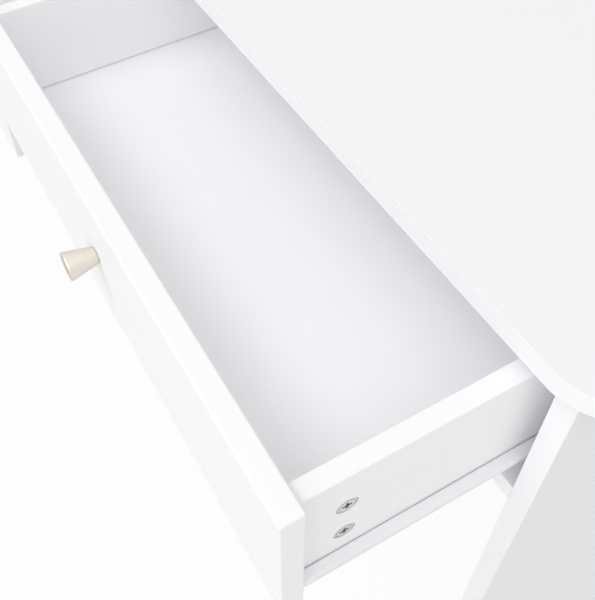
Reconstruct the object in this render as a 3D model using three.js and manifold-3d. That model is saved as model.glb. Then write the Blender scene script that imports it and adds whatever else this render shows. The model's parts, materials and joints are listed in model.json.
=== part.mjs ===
// Writing desk with two drawers on roller slides. Millimetres, +Z up, +X to the right, front towards -Y.
// The desk is drawn in a group whose y = 0 is the desktop's front edge and whose z = 0 is the floor.
// Each drawer is a group of its own: x = 0 is the middle of its bay, y = 0 its front's outer face and
// z = 0 its front's lower edge. The slides' heights are measured from that edge too.

import * as THREE from 'three';
import { mergeVertices } from 'three/addons/utils/BufferGeometryUtils.js';
import Module from 'manifold-3d';

const wasm = await Module();
wasm.setup();

// ---- Driving dimensions ----

// Desk
const deskWidth = 1080;
const deskDepth = 500;
const deskHeight = 750;
const boardThickness = 15;
const boardEdgeRadius = 1;
const desktopCornerRadius = 40;
const desktopEndOverhang = 24;
const desktopFrontOverhang = 10;
const desktopBackOverhang = 10;
const modestyHeight = 250;

// Drawer fronts, set into the case: a deep drawer on the left and a shallow one on the right
const leftFrontHeight = 187;
const rightFrontHeight = 120;
const frontTopGap = 2;
const frontBottomGap = 2.5;
const frontSideGap = 4;

// Drawer boxes
const drawerBoardThickness = 12;
const drawerBoxDepth = 385;
const drawerSideDrop = 7;
const drawerSideLift = 10;
const drawerFloorLift = 20;
const drawerFloorThickness = 3;
const drawerGrooveDepth = 5;
const slideClearance = 12.5;
const drawerTravel = 310;
const leftDrawerOpening = 158.5;
const rightDrawerOpening = 161;

// Knob
const knobBaseRadius = 6;
const knobTipRadius = 10.25;
const knobLength = 21.5;
const knobLift = 3.5;
const knobRimRadius = 0.8;
const knobScrewRadius = 2;
const knobScrewHeadRadius = 4;
const knobScrewHeadHeight = 2.2;
const knobScrewReach = 12;

// Roller slides
const slideTail = 15;
const sheetThickness = 1;
const slideSetback = 0.3;
const runnerSideGap = 0.4;
const runnerWebHeight = 18.1;
const runnerFootWidth = 10;
const trackWidth = 8.4;
const trackLip = 4.5;
const bendRadius = 1.2;
const lipGap = 0.7;
const railFlangeGap = 1;
const frontRollerRadius = 10;
const frontRollerInset = 11;
const rearRollerRadius = 7.5;
const rearRollerInset = 9.5;
const rearRollerWidth = 7.5;
const rollerClearance = 0.3;
const rollerSideClearance = 0.5;
const rollerRecessDepth = 1.3;
const axleRadius = 2.5;
const axleHeadRadius = 3.8;
const axleHeadHeight = 0.9;
const axleBossRadius = 4;
const railStopHeight = 3;
const railStopWidth = 3;
const slideScrewInset = 35;
const slideScrewEndInset = 20;
const slideScrewRadius = 1.7;
const runnerScrewBite = 9;
const dividerCore = 1.4;

// Cam fittings: a bolt in one board is pulled tight by a cam in the face of the other
const smallCam = { radius: 6.5, depth: 8.5, setback: 29.5, boltRadius: 2.5, neckRadius: 2.1, bite: 10 };
const largeCam = { radius: 7.5, depth: 12, setback: 34, boltRadius: 3, neckRadius: 2.4, bite: 10.5 };
const camHeadExtra = 0.4;
const camHeadHalf = 1.5;
const camRim = 2.7;
const camSlotWidth = 1.6;
const camSlotDepth = 1.4;
const frontCamDrop = 34;
const frontCamLift = 37;
const caseCamInset = 60;
const wallCamInset = 30;

// Dowels, screws and glides
const dowelRadius = 4;
const dowelLength = 24;
const dowelBite = 9;
const dowelFromCam = 32;
const woodScrewRadius = 1.7;
const woodScrewHeadRadius = 3.6;
const woodScrewHeadDepth = 2;
const woodScrewLength = 32;
const backScrewDrop = 22;
const backScrewLift = 41;
const glideRadius = 6.5;
const glideHeight = 4;
const glideStemRadius = 2.5;
const glideStemLength = 12;
const glideInset = 35;

// Clearances
const seam = 0.1;
const fit = 0.3;
const overcut = 2;

// ---- Places worked out from them ----

const desktopUnderside = deskHeight - boardThickness;
const caseFront = desktopFrontOverhang;
const caseBack = deskDepth - desktopBackOverhang;
const panelOuter = deskWidth / 2 - desktopEndOverhang;
const panelInner = panelOuter - boardThickness;
const dividerHalf = boardThickness / 2;
const bayWidth = panelInner - dividerHalf;
const bayMiddle = dividerHalf + bayWidth / 2;

const frontTop = desktopUnderside - frontTopGap;
const leftBay = { name: 'left', side: -1, frontHeight: leftFrontHeight, opening: leftDrawerOpening };
const rightBay = { name: 'right', side: 1, frontHeight: rightFrontHeight, opening: rightDrawerOpening };
for (const bay of [leftBay, rightBay]) {
  bay.middle = bay.side * bayMiddle;
  bay.frontBottom = frontTop - bay.frontHeight;
  bay.floorTop = bay.frontBottom - frontBottomGap;
  bay.floorMiddle = bay.floorTop - boardThickness / 2;
  bay.floorUnderside = bay.floorTop - boardThickness;
}
const frontHalfWidth = bayWidth / 2 - frontSideGap;

const boxFront = boardThickness + seam;
const boxBack = boxFront + drawerBoxDepth;
const boxHalfWidth = bayWidth / 2 - slideClearance;
const boxInnerHalfWidth = boxHalfWidth - drawerBoardThickness;
const sideBottom = drawerSideLift;
const drawerFloorUnderside = sideBottom + drawerFloorLift;
const drawerFloorTop = drawerFloorUnderside + drawerFloorThickness;

// Across a slide, x is measured from the middle of the bay; the outer end is the case wall.
const wallX = bayWidth / 2;
const runnerInnerX = boxHalfWidth + runnerSideGap;
const runnerOuterX = runnerInnerX + sheetThickness;
const lipOuterX = boxHalfWidth + trackWidth;
const lipInnerX = lipOuterX - sheetThickness;
const railWebOuterX = wallX - seam;
const railWebInnerX = railWebOuterX - sheetThickness;
const railFlangeX = runnerOuterX + railFlangeGap;

// Up a slide, everything hangs from the drawer side's lower edge.
const runnerFootTop = sideBottom - seam;
const runnerFootUnderside = runnerFootTop - sheetThickness;
const trackTop = runnerFootUnderside + runnerWebHeight;
const trackUnderside = trackTop - sheetThickness;
const railTop = trackTop - trackLip - lipGap;
const railChannelTop = railTop - sheetThickness;
const rearRollerHeight = railChannelTop - rollerClearance - rearRollerRadius;
const railChannelFloor = rearRollerHeight - rearRollerRadius - rollerClearance;
const railUnderside = railChannelFloor - sheetThickness;
const frontRollerHeight = trackUnderside - rollerClearance - frontRollerRadius;

// Along a slide, with the drawer shut.
const slideFront = boardThickness + slideSetback;
const slideLength = drawerBoxDepth + slideTail;
const slideBack = slideFront + slideLength;
const railFront = caseFront + slideFront;
const railBack = railFront + slideLength;
const frontRollerY = railFront + frontRollerInset;
const rearRollerY = slideBack - rearRollerInset;
const railScrewBite = (boardThickness - dividerCore) / 2;

const knobReach = Math.max(leftDrawerOpening, rightDrawerOpening) + knobLength - desktopFrontOverhang;

// ---- Materials ----

const whiteLacquer = new THREE.MeshStandardMaterial({ color: 0xf3f3f2, roughness: 0.42, metalness: 0 });
const whiteFoil = new THREE.MeshStandardMaterial({ color: 0xeeeeed, roughness: 0.5, metalness: 0 });
const whiteSheet = new THREE.MeshStandardMaterial({ color: 0xececec, roughness: 0.38, metalness: 0.1 });
const zinc = new THREE.MeshStandardMaterial({ color: 0xb4b4b2, roughness: 0.35, metalness: 1 });
const champagne = new THREE.MeshStandardMaterial({ color: 0xd8c8a8, roughness: 0.3, metalness: 1 });
const nylon = new THREE.MeshStandardMaterial({ color: 0xe2e2de, roughness: 0.5, metalness: 0 });

// ---- Shapes ----

const X = new THREE.Vector3(1, 0, 0);
const Y = new THREE.Vector3(0, 1, 0);
const Z = new THREE.Vector3(0, 0, 1);
const at = (x, y, z) => new THREE.Vector3(x, y, z);
const along = (point, direction, distance) => point.clone().addScaledVector(direction, distance);
const hands = new Map([[-1, 'left'], [1, 'right']]);

function toSolid(geometry) {
  const bare = geometry.clone();
  bare.deleteAttribute('normal');
  bare.deleteAttribute('uv');
  const merged = mergeVertices(bare, 1e-5);
  return new wasm.Manifold(new wasm.Mesh({
    numProp: 3,
    vertProperties: new Float32Array(merged.attributes.position.array),
    triVerts: new Uint32Array(merged.index.array),
  }));
}

function toGeometry(solid) {
  const mesh = solid.getMesh();
  const geometry = new THREE.BufferGeometry();
  geometry.setAttribute('position', new THREE.BufferAttribute(mesh.vertProperties, 3));
  geometry.setIndex(new THREE.BufferAttribute(mesh.triVerts, 1));
  geometry.computeVertexNormals();
  return geometry;
}

// The geometry with every tool cut out of it.
function cut(geometry, tools) {
  let solid = toSolid(geometry);
  for (const tool of tools) {
    solid = solid.subtract(toSolid(tool));
  }
  return toGeometry(solid);
}

function join(geometry, additions) {
  let solid = toSolid(geometry);
  for (const addition of additions) {
    solid = solid.add(toSolid(addition));
  }
  return toGeometry(solid);
}

// A box from one corner to the opposite one.
function block(from, to) {
  const size = to.clone().sub(from);
  const middle = from.clone().add(to).multiplyScalar(0.5);
  return new THREE.BoxGeometry(size.x, size.y, size.z).translate(middle.x, middle.y, middle.z);
}

// A round bar from one point to another.
function rod(radius, from, to, sides = 10) {
  const axis = to.clone().sub(from);
  const middle = from.clone().add(to).multiplyScalar(0.5);
  return new THREE.CylinderGeometry(radius, radius, axis.length(), sides)
    .applyQuaternion(new THREE.Quaternion().setFromUnitVectors(Y, axis.normalize()))
    .translate(middle.x, middle.y, middle.z);
}

// A solid turned about a line: rows are [distance along the line, radius], from the axis back to the axis.
function turned(rows, origin, direction, sides = 10) {
  const points = rows.map(([distance, radius]) => new THREE.Vector2(radius, distance));
  return new THREE.LatheGeometry(points, sides)
    .applyQuaternion(new THREE.Quaternion().setFromUnitVectors(Y, direction))
    .translate(origin.x, origin.y, origin.z);
}

// A rectangle with round corners, about the origin.
function roundedOutline(width, depth, radius, arcSteps) {
  const x = width / 2 - radius;
  const y = depth / 2 - radius;
  const corners = [[x, y, 0], [-x, y, 1], [-x, -y, 2], [x, -y, 3]];
  const points = [];
  for (const [cornerX, cornerY, quarter] of corners) {
    for (let step = 0; step <= arcSteps; step += 1) {
      const angle = (quarter + step / arcSteps) * Math.PI / 2;
      points.push(new THREE.Vector2(cornerX + radius * Math.cos(angle), cornerY + radius * Math.sin(angle)));
    }
  }
  return new THREE.Shape(points);
}

// A flat board with round corners and softened edges, lying in X and Y about the origin.
function softBoard(width, depth, thickness, cornerRadius, arcSteps, edgeRadius = boardEdgeRadius) {
  const outline = roundedOutline(width - 2 * edgeRadius, depth - 2 * edgeRadius, cornerRadius - edgeRadius,
    arcSteps);
  return new THREE.ExtrudeGeometry(outline, {
    depth: thickness - 2 * edgeRadius,
    steps: 1,
    bevelEnabled: true,
    bevelThickness: edgeRadius,
    bevelSize: edgeRadius,
    bevelSegments: 2,
  }).translate(0, 0, edgeRadius - thickness / 2);
}

// A closed outline in X and Z pushed along Y.
function pushedOutline(points, fromY, toY) {
  const shape = new THREE.Shape(points.map(([x, z]) => new THREE.Vector2(x, z)));
  return new THREE.ExtrudeGeometry(shape, { depth: toY - fromY, steps: 1, bevelEnabled: false })
    .rotateX(Math.PI / 2)
    .translate(0, toY, 0);
}

// Points of a quarter bend about a centre, from one angle to another, in degrees.
function bend(centreX, centreZ, radius, fromDegrees, toDegrees, hand) {
  const steps = 3;
  const points = [];
  for (let step = 0; step <= steps; step += 1) {
    const angle = THREE.MathUtils.degToRad(fromDegrees + (toDegrees - fromDegrees) * step / steps);
    points.push([hand * (centreX + radius * Math.cos(angle)), centreZ + radius * Math.sin(angle)]);
  }
  return points;
}

// ---- The desk as a scene ----

const desk = new THREE.Group();
desk.position.y = (knobReach - deskDepth) / 2;

// Adds a node whose geometry is drawn in the parent's own axes. The mesh stands at the geometry's middle.
function addPiece(parent, name, geometry, material) {
  geometry.computeBoundingBox();
  const middle = geometry.boundingBox.getCenter(at(0, 0, 0));
  const mesh = new THREE.Mesh(geometry.translate(-middle.x, -middle.y, -middle.z), material);
  mesh.name = name;
  mesh.position.copy(middle);
  parent.add(mesh);
}

// ---- Fasteners, and the bores that take them ----

// Axes of a cam fitting: the bolt runs along local Z through the origin, and the cam faces local Y.
function camFrame(size, seamPoint, direction, faceNormal) {
  const across = new THREE.Vector3().crossVectors(faceNormal, direction);
  return new THREE.Matrix4()
    .makeBasis(across, faceNormal, direction)
    .setPosition(along(seamPoint, direction, size.setback));
}

const camHeadRadius = (size) => size.boltRadius + camHeadExtra;

// The cam that pulls the bolt tight: a disc in the board's face, with a slot for the bolt's head.
function camLock(size, frame, boardHalf) {
  const headRadius = camHeadRadius(size);
  const slot = rod(headRadius + fit, at(0, 0, -size.radius - overcut), at(0, 0, camHeadHalf + fit), 8);
  const reach = size.radius - camRim;
  const crossSlots = [at(reach, 0, camSlotWidth / 2), at(camSlotWidth / 2, 0, reach)].map((half) => (
    block(at(-half.x, boardHalf - camSlotDepth, -half.z), at(half.x, boardHalf + overcut, half.z))));
  const disc = rod(size.radius, at(0, boardHalf - size.depth, 0), at(0, boardHalf, 0), 16);
  return cut(disc, [slot, ...crossSlots]).applyMatrix4(frame);
}

// The bolt: threaded into the far board, a neck across the seam, and a head inside the cam.
function camBolt(size, frame) {
  const headRadius = camHeadRadius(size);
  return turned([
    [-size.setback - size.bite, 0],
    [-size.setback - size.bite, size.boltRadius],
    [-size.setback, size.boltRadius],
    [-size.setback, size.neckRadius],
    [-camHeadHalf, size.neckRadius],
    [-camHeadHalf, headRadius],
    [camHeadHalf, headRadius],
    [camHeadHalf, 0],
  ], at(0, 0, 0), Z, 8).applyMatrix4(frame);
}

// The bore for the bolt's thread in the far board, and the bores for its head and the cam in the near one.
function camBores(size, frame, boardHalf) {
  const headRadius = camHeadRadius(size);
  const threadEnd = -size.setback - size.bite - fit;
  return {
    thread: rod(size.boltRadius + fit, at(0, 0, threadEnd), at(0, 0, overcut - size.setback), 8)
      .applyMatrix4(frame),
    neck: rod(headRadius + fit, at(0, 0, -size.setback - overcut), at(0, 0, camHeadHalf + fit), 8)
      .applyMatrix4(frame),
    cam: rod(size.radius + fit, at(0, boardHalf - size.depth - fit, 0), at(0, boardHalf + overcut, 0), 16)
      .applyMatrix4(frame),
  };
}

// A countersunk wood screw, its head level with the face it starts in.
function woodScrew(head, direction) {
  return turned([
    [0, 0],
    [0, woodScrewHeadRadius],
    [woodScrewHeadDepth, woodScrewRadius],
    [woodScrewLength, woodScrewRadius],
    [woodScrewLength, 0],
  ], head, direction, 8);
}

function woodScrewBore(head, direction) {
  return turned([
    [-overcut, 0],
    [-overcut, woodScrewHeadRadius + fit],
    [0, woodScrewHeadRadius + fit],
    [woodScrewHeadDepth + fit, woodScrewRadius + fit],
    [woodScrewLength + fit, woodScrewRadius + fit],
    [woodScrewLength + fit, 0],
  ], head, direction, 8);
}

// The bore of a flat-headed screw that holds sheet metal to a board.
function sheetScrewBore(face, direction, bite) {
  const reach = sheetThickness + seam + bite + fit;
  return rod(slideScrewRadius + fit, along(face, direction, -overcut), along(face, direction, reach), 8);
}

function dowelBore(seamPoint, direction) {
  const start = along(seamPoint, direction, -dowelBite - fit);
  return rod(dowelRadius + fit, start, along(start, direction, dowelLength + 2 * fit), 8);
}

// A roller, with a recess for its axle's head at the end that the direction points to.
function roller(radius, width, start, direction) {
  const bore = axleRadius + fit;
  const recess = axleHeadRadius + fit;
  return turned([
    [0, bore],
    [0, radius],
    [width, radius],
    [width, recess],
    [width - rollerRecessDepth, recess],
    [width - rollerRecessDepth, bore],
    [0, bore],
  ], start, direction, 18);
}

// The axle riveted into a slide's sheet: a boss, the bar the roller turns on, and a head in its recess.
function axle(sheetFace, direction, standOff, width) {
  const bossEnd = standOff - fit;
  const headStart = standOff + width - rollerRecessDepth + fit;
  return turned([
    [-sheetThickness / 2, 0],
    [-sheetThickness / 2, axleBossRadius],
    [bossEnd, axleBossRadius],
    [bossEnd, axleRadius],
    [headStart, axleRadius],
    [headStart, axleHeadRadius],
    [headStart + axleHeadHeight, axleHeadRadius],
    [headStart + axleHeadHeight, 0],
  ], sheetFace, direction);
}

// ---- Case ----

// Bores wanted in each case board, gathered while the fittings are placed.
const caseBores = {
  desktop: [],
  left_side_panel: [],
  right_side_panel: [],
  centre_divider: [],
  left_bottom_board: [],
  right_bottom_board: [],
  case_back_board: [],
  modesty_panel: [],
};

function joinBoards(boltBoard, camBoard, seamPoint, direction, faceNormal) {
  const frame = camFrame(largeCam, seamPoint, direction, faceNormal);
  const bores = camBores(largeCam, frame, boardThickness / 2);
  caseBores[boltBoard].push(bores.thread);
  caseBores[camBoard].push(bores.neck, bores.cam);
}

function dowelBoards(shallowBoard, deepBoard, seamPoint, direction) {
  const bore = dowelBore(seamPoint, direction);
  caseBores[shallowBoard].push(bore);
  caseBores[deepBoard].push(bore);
}

const down = at(0, 0, -1);
const frontJointY = caseFront + caseCamInset;
const backJointY = caseBack - boardThickness - caseCamInset;
const backBoardY = caseBack - boardThickness / 2;
const backJointZ = (desktopUnderside + leftBay.floorUnderside) / 2;
const boardsEnd = caseBack - boardThickness - seam;
const modestyBottom = leftBay.floorUnderside - modestyHeight;

for (const { side: hand, name: handName, floorMiddle } of [leftBay, rightBay]) {
  const panel = `${handName}_side_panel`;
  const panelMiddle = hand * (panelInner + boardThickness / 2);
  const inwards = at(-hand, 0, 0);

  // The desktop's bolts hang down into the side panels, whose cams face the drawers.
  for (const [y, dowelSide] of [[frontJointY, 1], [backJointY, -1]]) {
    joinBoards('desktop', panel, at(panelMiddle, y, desktopUnderside), down, inwards);
    dowelBoards('desktop', panel, at(panelMiddle, y + dowelSide * dowelFromCam, desktopUnderside), down);
  }

  // The bottom boards' cams are in their undersides.
  for (const [y, dowelSide] of [[frontJointY, 1], [backJointY, -1]]) {
    const dowelY = y + dowelSide * dowelFromCam;
    joinBoards(panel, `${handName}_bottom_board`, at(hand * panelInner, y, floorMiddle), inwards, down);
    dowelBoards(panel, `${handName}_bottom_board`, at(hand * panelInner, dowelY, floorMiddle), inwards);
  }

  // The two boards at the back have their cams in their back faces.
  joinBoards(panel, 'case_back_board', at(hand * panelInner, backBoardY, backJointZ), inwards, Y);
  for (const z of [leftBay.floorUnderside - wallCamInset, modestyBottom + wallCamInset]) {
    joinBoards(panel, 'modesty_panel', at(hand * panelInner, backBoardY, z), inwards, Y);
  }
}

// The right bottom board, the higher one, meets the divider as it meets the side panel.
for (const [y, dowelSide] of [[frontJointY, 1], [backJointY, -1]]) {
  const dowelY = y + dowelSide * dowelFromCam;
  joinBoards('centre_divider', 'right_bottom_board', at(dividerHalf, y, rightBay.floorMiddle), X, down);
  dowelBoards('centre_divider', 'right_bottom_board', at(dividerHalf, dowelY, rightBay.floorMiddle), X);
}

// The divider hangs on dowels from the desktop and is screwed through the left bottom board.
for (const [place, y] of [['front', frontJointY], ['back', backJointY]]) {
  const head = at(0, y, leftBay.floorUnderside);
  dowelBoards('desktop', 'centre_divider', at(0, y, desktopUnderside), down);
  addPiece(desk, `divider_${place}_screw`, woodScrew(head, Z), zinc);
  const screwBore = woodScrewBore(head, Z);
  caseBores.left_bottom_board.push(screwBore);
  caseBores.centre_divider.push(screwBore);
}

// Glides under the side panels carry the desk.
function glide(foot) {
  const puckTop = glideHeight - seam;
  return turned([
    [0, 0],
    [0, glideRadius],
    [puckTop, glideRadius],
    [puckTop, glideStemRadius],
    [puckTop + glideStemLength, glideStemRadius],
    [puckTop + glideStemLength, 0],
  ], foot, Z, 12);
}

for (const [hand, handName] of hands) {
  for (const [place, y] of [['front', caseFront + glideInset], ['back', caseBack - glideInset]]) {
    const foot = at(hand * (panelInner + boardThickness / 2), y, 0);
    addPiece(desk, `${handName}_${place}_glide`, glide(foot), nylon);
    const boreFoot = along(foot, Z, glideHeight - overcut);
    const boreTop = along(foot, Z, glideHeight + glideStemLength + fit);
    caseBores[`${handName}_side_panel`].push(rod(glideStemRadius + fit, boreFoot, boreTop, 12));
  }
}

// The rails of the roller slides, with their front rollers, on both walls of both bays.
function slideScrewPlaces(start, end) {
  return [start + slideScrewInset, (start + end) / 2, end - slideScrewEndInset];
}

function addRail(bay, hand, handName, wallBoard) {
  const slides = new THREE.Group();
  slides.position.set(bay.middle, 0, bay.frontBottom);
  desk.add(slides);
  const channel = [
    [railWebOuterX, railTop],
    [railFlangeX, railTop],
    [railFlangeX, railChannelTop],
    [railWebInnerX, railChannelTop],
    [railWebInnerX, railChannelFloor],
    [railFlangeX, railChannelFloor],
    [railFlangeX, railUnderside],
    [railWebOuterX, railUnderside],
  ].map(([x, z]) => [hand * x, z]);
  const mouthBack = frontRollerY + frontRollerRadius + rollerSideClearance + overcut;
  const mouthEdges = [hand * (railFlangeX - overcut), hand * railWebInnerX];
  const mouth = block(at(Math.min(...mouthEdges), railFront - overcut, railChannelTop - overcut),
    at(Math.max(...mouthEdges), mouthBack, railTop + overcut));
  const stopReach = Math.sqrt(rearRollerRadius ** 2 - (rearRollerRadius - railStopHeight) ** 2);
  const stopBack = caseFront + rearRollerY - drawerTravel - stopReach - rollerClearance;
  const stopEdges = [hand * (railFlangeX + 1), hand * (railWebInnerX - 1)];
  const stopRoot = railChannelFloor - sheetThickness / 2;
  const stop = block(at(Math.min(...stopEdges), stopBack - railStopWidth, stopRoot),
    at(Math.max(...stopEdges), stopBack, railChannelFloor + railStopHeight));

  const inwards = at(-hand, 0, 0);
  const outwards = at(hand, 0, 0);
  const pivot = at(hand * railWebInnerX, frontRollerY, frontRollerHeight);
  const rollerWidth = lipInnerX - runnerOuterX - 2 * rollerSideClearance;
  const standOff = railWebInnerX - lipInnerX + rollerSideClearance;

  const screwHeight = (railChannelTop + railChannelFloor) / 2;
  const screwBores = slideScrewPlaces(railFront, railBack).map((y) => (
    sheetScrewBore(at(hand * railWebInnerX, y, screwHeight), outwards, railScrewBite)));
  for (const bore of screwBores) {
    caseBores[wallBoard].push(bore.clone().translate(bay.middle, 0, bay.frontBottom));
  }
  const strip = cut(pushedOutline(channel, railFront, railBack), [mouth, ...screwBores]);
  const rail = join(strip, [stop, axle(pivot, inwards, standOff, rollerWidth)]);
  addPiece(slides, `${bay.name}_bay_${handName}_rail`, rail, whiteSheet);
  addPiece(slides, `${bay.name}_bay_${handName}_roller`,
    roller(frontRollerRadius, rollerWidth, along(pivot, inwards, standOff), inwards), nylon);
}

addRail(leftBay, -1, 'left', 'left_side_panel');
addRail(leftBay, 1, 'right', 'centre_divider');
addRail(rightBay, -1, 'left', 'centre_divider');
addRail(rightBay, 1, 'right', 'right_side_panel');

addPiece(desk, 'desktop',
  cut(softBoard(deskWidth, deskDepth, boardThickness, desktopCornerRadius, 10)
    .translate(0, deskDepth / 2, deskHeight - boardThickness / 2), caseBores.desktop),
  whiteLacquer);

for (const [hand, handName] of hands) {
  const name = `${handName}_side_panel`;
  const edges = [hand * panelInner, hand * panelOuter];
  addPiece(desk, name,
    cut(block(at(Math.min(...edges), caseFront, glideHeight), at(Math.max(...edges), caseBack,
      desktopUnderside - seam)), caseBores[name]),
    whiteLacquer);
}

addPiece(desk, 'centre_divider',
  cut(block(at(-dividerHalf, caseFront, leftBay.floorTop + seam),
    at(dividerHalf, boardsEnd, desktopUnderside - seam)), caseBores.centre_divider),
  whiteLacquer);

addPiece(desk, 'left_bottom_board',
  cut(block(at(seam - panelInner, caseFront, leftBay.floorUnderside),
    at(dividerHalf, boardsEnd, leftBay.floorTop)), caseBores.left_bottom_board),
  whiteLacquer);

addPiece(desk, 'right_bottom_board',
  cut(block(at(dividerHalf + seam, caseFront, rightBay.floorUnderside),
    at(panelInner - seam, boardsEnd, rightBay.floorTop)), caseBores.right_bottom_board),
  whiteLacquer);

// The divider and the bottom boards end at the back board, which stands on the modesty panel.
addPiece(desk, 'case_back_board',
  cut(block(at(seam - panelInner, caseBack - boardThickness, leftBay.floorUnderside),
    at(panelInner - seam, caseBack, desktopUnderside - seam)), caseBores.case_back_board),
  whiteLacquer);

addPiece(desk, 'modesty_panel',
  cut(block(at(seam - panelInner, caseBack - boardThickness, modestyBottom),
    at(panelInner - seam, caseBack, leftBay.floorUnderside - seam)), caseBores.modesty_panel),
  whiteLacquer);

// ---- Drawers ----

// The sheet-metal runner under a drawer side: foot, web, and a track whose lip turns down.
function runnerOutline(hand) {
  const outer = bendRadius;
  const inner = bendRadius - sheetThickness;
  const footX = boxHalfWidth - runnerFootWidth;
  return [
    [hand * footX, runnerFootUnderside],
    ...bend(runnerOuterX - outer, runnerFootUnderside + outer, outer, -90, 0, hand),
    ...bend(runnerOuterX + inner, trackUnderside - inner, inner, 180, 90, hand),
    ...bend(lipInnerX - inner, trackUnderside - inner, inner, 90, 0, hand),
    [hand * lipInnerX, trackTop - trackLip],
    [hand * lipOuterX, trackTop - trackLip],
    ...bend(lipOuterX - outer, trackTop - outer, outer, 0, 90, hand),
    ...bend(runnerInnerX + outer, trackTop - outer, outer, 90, 180, hand),
    ...bend(runnerInnerX - inner, runnerFootTop + inner, inner, 0, -90, hand),
    [hand * footX, runnerFootTop],
  ];
}

function knobGeometry(knobHeight) {
  const socket = knobScrewReach + fit;
  const rim = knobRimRadius;
  const rows = [
    [socket, 0],
    [socket, knobScrewRadius + fit],
    [seam, knobScrewRadius + fit],
    [seam, knobBaseRadius],
    [knobLength - rim, knobTipRadius],
    [knobLength - 0.3 * rim, knobTipRadius - 0.3 * rim],
    [knobLength, knobTipRadius - rim],
    [knobLength, 0],
  ];
  return turned(rows, at(0, 0, knobHeight), at(0, -1, 0), 24);
}

function addDrawer(bay) {
  const name = `${bay.name}_drawer`;
  const drawer = new THREE.Group();
  drawer.position.set(bay.middle, caseFront - bay.opening, bay.frontBottom);
  desk.add(drawer);
  const sideTop = bay.frontHeight - drawerSideDrop;
  const frontMiddle = bay.frontHeight / 2;
  const knobHeight = frontMiddle + knobLift;

  const bores = { front: [], left_side: [], right_side: [], back: [] };
  for (const [hand, handName] of hands) {
    const side = bores[`${handName}_side`];
    const outwards = at(hand, 0, 0);
    const sideMiddle = hand * (boxHalfWidth - drawerBoardThickness / 2);
    for (const [place, z] of [['upper', sideTop - frontCamDrop], ['lower', sideBottom + frontCamLift]]) {
      const frame = camFrame(smallCam, at(sideMiddle, boardThickness, z), Y, outwards);
      const camBore = camBores(smallCam, frame, drawerBoardThickness / 2);
      const cam = camLock(smallCam, frame, drawerBoardThickness / 2);
      addPiece(drawer, `${name}_${handName}_${place}_cam`, cam, zinc);
      addPiece(drawer, `${name}_${handName}_${place}_cam_bolt`, camBolt(smallCam, frame), zinc);
      bores.front.push(camBore.thread);
      side.push(camBore.neck, camBore.cam);
    }
    for (const z of [sideTop - backScrewDrop, sideBottom + backScrewLift]) {
      const head = at(hand * boxHalfWidth, boxBack - drawerBoardThickness / 2, z);
      const screwBore = woodScrewBore(head, at(-hand, 0, 0));
      side.push(screwBore);
      bores.back.push(screwBore);
    }

    // The runner under the side, with the roller at its back end.
    const screwBores = slideScrewPlaces(slideFront, boxBack).map((y) => (
      sheetScrewBore(at(sideMiddle, y, runnerFootUnderside), Z, runnerScrewBite)));
    side.push(...screwBores);
    const pivot = at(hand * runnerOuterX, rearRollerY, rearRollerHeight);
    const strip = cut(pushedOutline(runnerOutline(hand), slideFront, slideBack), screwBores);
    const runner = join(strip, [axle(pivot, outwards, rollerSideClearance, rearRollerWidth)]);
    addPiece(drawer, `${name}_${handName}_runner`, runner, whiteSheet);
    const rollerFace = along(pivot, outwards, rollerSideClearance);
    const wheel = roller(rearRollerRadius, rearRollerWidth, rollerFace, outwards);
    addPiece(drawer, `${name}_${handName}_roller`, wheel, nylon);
  }

  // The floor slides in a groove all round.
  const grooveHalf = boxInnerHalfWidth + drawerGrooveDepth;
  const grooveFront = boardThickness - drawerGrooveDepth;
  const grooveBack = boxBack - drawerBoardThickness + drawerGrooveDepth;
  const floor = block(at(-grooveHalf, grooveFront, drawerFloorUnderside), at(grooveHalf, grooveBack,
    drawerFloorTop));
  const groove = () => block(at(-grooveHalf - fit, grooveFront - fit, drawerFloorUnderside - fit),
    at(grooveHalf + fit, grooveBack + fit, drawerFloorTop + fit));

  const screwStart = at(0, boardThickness + seam + knobScrewHeadHeight, knobHeight);
  const screwLength = knobScrewHeadHeight + seam + boardThickness + knobScrewReach;
  const knobScrewRows = [
    [0, 0],
    [0, knobScrewHeadRadius],
    [knobScrewHeadHeight, knobScrewHeadRadius],
    [knobScrewHeadHeight, knobScrewRadius],
    [screwLength, knobScrewRadius],
    [screwLength, 0],
  ];
  bores.front.push(rod(knobScrewRadius + fit, at(0, -overcut, knobHeight), at(0, boardThickness + overcut,
    knobHeight)));

  const face = softBoard(2 * frontHalfWidth, bay.frontHeight, boardThickness, boardEdgeRadius + 0.5, 2)
    .rotateX(Math.PI / 2)
    .translate(0, boardThickness / 2, frontMiddle);
  addPiece(drawer, `${name}_front`, cut(face, [...bores.front, groove()]), whiteLacquer);
  for (const [hand, handName] of hands) {
    const edges = [hand * boxInnerHalfWidth, hand * boxHalfWidth];
    const board = block(at(Math.min(...edges), boxFront, sideBottom),
      at(Math.max(...edges), boxBack, sideTop));
    addPiece(drawer, `${name}_${handName}_side`, cut(board, [...bores[`${handName}_side`], groove()]),
      whiteFoil);
  }
  const back = block(at(seam - boxInnerHalfWidth, boxBack - drawerBoardThickness, sideBottom),
    at(boxInnerHalfWidth - seam, boxBack, sideTop));
  addPiece(drawer, `${name}_back`, cut(back, [...bores.back, groove()]), whiteFoil);
  addPiece(drawer, `${name}_floor`, floor, whiteFoil);
  addPiece(drawer, `${name}_knob`, knobGeometry(knobHeight), champagne);
  addPiece(drawer, `${name}_knob_screw`, turned(knobScrewRows, screwStart, at(0, -1, 0)), zinc);
}

addDrawer(leftBay);
addDrawer(rightBay);

export default desk;
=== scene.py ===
"""Writing desk: a white desk whose deep left drawer and shallow right drawer run on roller slides.

The file is laid out as an add-on and run as a script. Lengths are in metres, +X to the right along the
front edge, +Y from front to back, +Z up from the floor.
"""

import json
import math
from functools import cache
from types import SimpleNamespace

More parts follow.
